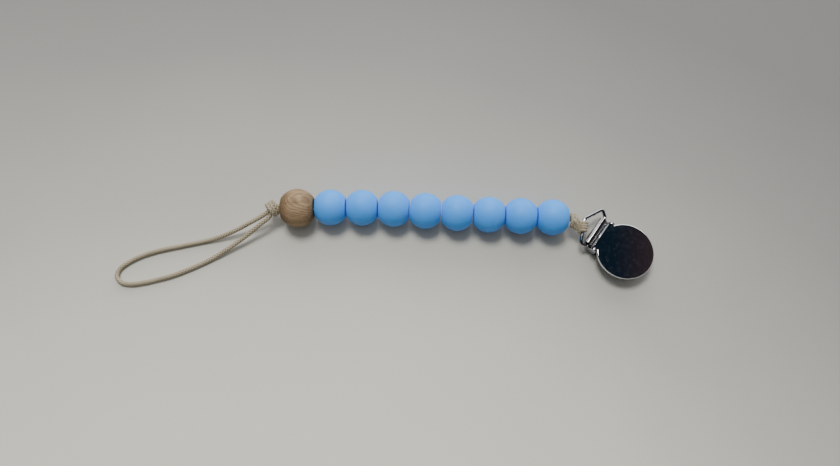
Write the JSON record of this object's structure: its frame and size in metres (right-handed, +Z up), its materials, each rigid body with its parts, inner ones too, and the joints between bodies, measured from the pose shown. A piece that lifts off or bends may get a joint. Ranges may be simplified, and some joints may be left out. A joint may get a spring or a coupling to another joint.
{
  "type": "pacifier clip",
  "caption": "Pacifier strap: a spring clip under a round chrome cover, a wire bail, knotted waxed cord, silicone beads and a wooden bead, and a cord loop for the pacifier.",
  "frame": {"origin": "on the flat back of the clip, under the middle of its round cover, which lies on z = 0", "axes": "+X along the string of beads, from the loop to the clip; +Z up, from the clip's back to its cover"},
  "size_m": [0.2235, 0.04, 0.016],
  "materials": {
    "chrome": "bright nickel-chrome plate",
    "polished_cover": "mirror-polished chrome plate",
    "spring_steel": "satin spring steel",
    "grip_plastic": "moulded, satin",
    "cotton_cord": "waxed cotton cord",
    "silicone": "matt food-grade silicone",
    "beech": "bare sanded beech"
  },
  "bodies": {
    "clip": {"clip_body": "chrome", "hinge_pin": "chrome", "rear_pad": "grip_plastic"},
    "lever": {"cover_lever": "polished_cover"},
    "jaw": {"spring_jaw": "spring_steel", "front_pad": "grip_plastic"},
    "bail": {"bail": "chrome"},
    "bail_cord": {"bail_knot": "cotton_cord"},
    "cord_8": {"cord_core_8": "cotton_cord"},
    "bead_8": {"silicone_bead_8": "silicone"},
    "cord_7": {"cord_core_7": "cotton_cord"},
    "bead_7": {"silicone_bead_7": "silicone"},
    "cord_6": {"cord_core_6": "cotton_cord"},
    "bead_6": {"silicone_bead_6": "silicone"},
    "cord_5": {"cord_core_5": "cotton_cord"},
    "bead_5": {"silicone_bead_5": "silicone"},
    "cord_4": {"cord_core_4": "cotton_cord"},
    "bead_4": {"silicone_bead_4": "silicone"},
    "cord_3": {"cord_core_3": "cotton_cord"},
    "bead_3": {"silicone_bead_3": "silicone"},
    "cord_2": {"cord_core_2": "cotton_cord"},
    "bead_2": {"silicone_bead_2": "silicone"},
    "cord_1": {"cord_core_1": "cotton_cord"},
    "bead_1": {"silicone_bead_1": "silicone"},
    "cord_wood": {"cord_core_wood": "cotton_cord", "loop_knot": "cotton_cord"},
    "bead_wood": {"wood_bead": "beech"},
    "loop": {"pacifier_loop": "cotton_cord"}
  },
  "joints": [
    {"name": "lever_open", "type": "hinge", "parent": "clip", "child": "lever", "pos_m": [-0.00852, 0.0063, 0.0055], "axis": [-0.5948, -0.8039, 0], "range_deg": [0, 90]},
    {"name": "jaw_release", "type": "hinge", "parent": "clip", "child": "jaw", "pos_m": [-0.00955, 0.00744, 0.0025], "axis": [-0.5948, -0.8039, 0], "range_deg": [0, 8]},
    {"name": "bail_swing", "type": "hinge", "parent": "clip", "child": "bail", "pos_m": [-0.01109, 0.00889, 0.0049], "axis": [0.5948, 0.8039, 0], "range_deg": [-30, 35]},
    {"name": "cord_swing", "type": "hinge", "parent": "bail", "child": "bail_cord", "pos_m": [-0.01641, 0.01068, 0.00623], "axis": [0.1832, 0.9771, 0.1082], "range_deg": [-35, 35]},
    {"name": "bend_8", "type": "hinge", "parent": "bail_cord", "child": "cord_8", "pos_m": [-0.0226, 0.0142, 0.0075], "axis": [0, 0, 1], "range_deg": [-7.5, 7.5]},
    {"name": "bead_spin_8", "type": "hinge", "parent": "cord_8", "child": "bead_8", "pos_m": [-0.02924, 0.0145, 0.0075], "axis": [0.999, -0.0454, 0], "continuous": true},
    {"name": "bend_7", "type": "hinge", "parent": "cord_8", "child": "cord_7", "pos_m": [-0.03589, 0.0148, 0.0075], "axis": [0, 0, 1], "range_deg": [-7.5, 7.5]},
    {"name": "bead_spin_7", "type": "hinge", "parent": "cord_7", "child": "bead_7", "pos_m": [-0.04253, 0.01511, 0.0075], "axis": [0.999, -0.0454, 0], "continuous": true},
    {"name": "bend_6", "type": "hinge", "parent": "cord_7", "child": "cord_6", "pos_m": [-0.04917, 0.01541, 0.0075], "axis": [0, 0, 1], "range_deg": [-7.5, 7.5]},
    {"name": "bead_spin_6", "type": "hinge", "parent": "cord_6", "child": "bead_6", "pos_m": [-0.05582, 0.01571, 0.0075], "axis": [0.999, -0.0454, 0], "continuous": true},
    {"name": "bend_5", "type": "hinge", "parent": "cord_6", "child": "cord_5", "pos_m": [-0.06246, 0.01601, 0.0075], "axis": [0, 0, 1], "range_deg": [-6.2, 8.8]},
    {"name": "bead_spin_5", "type": "hinge", "parent": "cord_5", "child": "bead_5", "pos_m": [-0.06909, 0.01646, 0.0075], "axis": [0.9977, -0.068, 0], "continuous": true},
    {"name": "bend_4", "type": "hinge", "parent": "cord_5", "child": "cord_4", "pos_m": [-0.07573, 0.01691, 0.0075], "axis": [0, 0, 1], "range_deg": [-7.2, 7.8]},
    {"name": "bead_spin_4", "type": "hinge", "parent": "cord_4", "child": "bead_4", "pos_m": [-0.08236, 0.0174, 0.0075], "axis": [0.9973, -0.0732, 0], "continuous": true},
    {"name": "bend_3", "type": "hinge", "parent": "cord_4", "child": "cord_3", "pos_m": [-0.08899, 0.01789, 0.0075], "axis": [0, 0, 1], "range_deg": [-8.2, 6.8]},
    {"name": "bead_spin_3", "type": "hinge", "parent": "cord_3", "child": "bead_3", "pos_m": [-0.09563, 0.01829, 0.0075], "axis": [0.9981, -0.061, 0], "continuous": true},
    {"name": "bend_2", "type": "hinge", "parent": "cord_3", "child": "cord_2", "pos_m": [-0.10227, 0.0187, 0.0075], "axis": [0, 0, 1], "range_deg": [-10.1, 4.9]},
    {"name": "bead_spin_2", "type": "hinge", "parent": "cord_2", "child": "bead_2", "pos_m": [-0.10892, 0.0188, 0.0075], "axis": [0.9999, -0.0157, 0], "continuous": true},
    {"name": "bend_1", "type": "hinge", "parent": "cord_2", "child": "cord_1", "pos_m": [-0.11557, 0.01891, 0.0075], "axis": [0, 0, 1], "range_deg": [-8.4, 6.6]},
    {"name": "bead_spin_1", "type": "hinge", "parent": "cord_1", "child": "bead_1", "pos_m": [-0.12222, 0.01891, 0.0075], "axis": [1, 0, 0], "continuous": true},
    {"name": "bend_wood", "type": "hinge", "parent": "cord_1", "child": "cord_wood", "pos_m": [-0.12887, 0.01891, 0.0075], "axis": [0, 0, 1], "range_deg": [-7.5, 7.5]},
    {"name": "bead_spin_wood", "type": "hinge", "parent": "cord_wood", "child": "bead_wood", "pos_m": [-0.13597, 0.01851, 0.008], "axis": [1, 0, 0], "continuous": true},
    {"name": "loop_swing", "type": "hinge", "parent": "cord_wood", "child": "loop", "pos_m": [-0.1463, 0.0186, 0.0076], "axis": [0, 0, 1], "range_deg": [-15, 15]}
  ],
  "couplings": [
    {"joint": "jaw_release", "follows": "lever_open", "ratio": 0.088889}
  ]
}
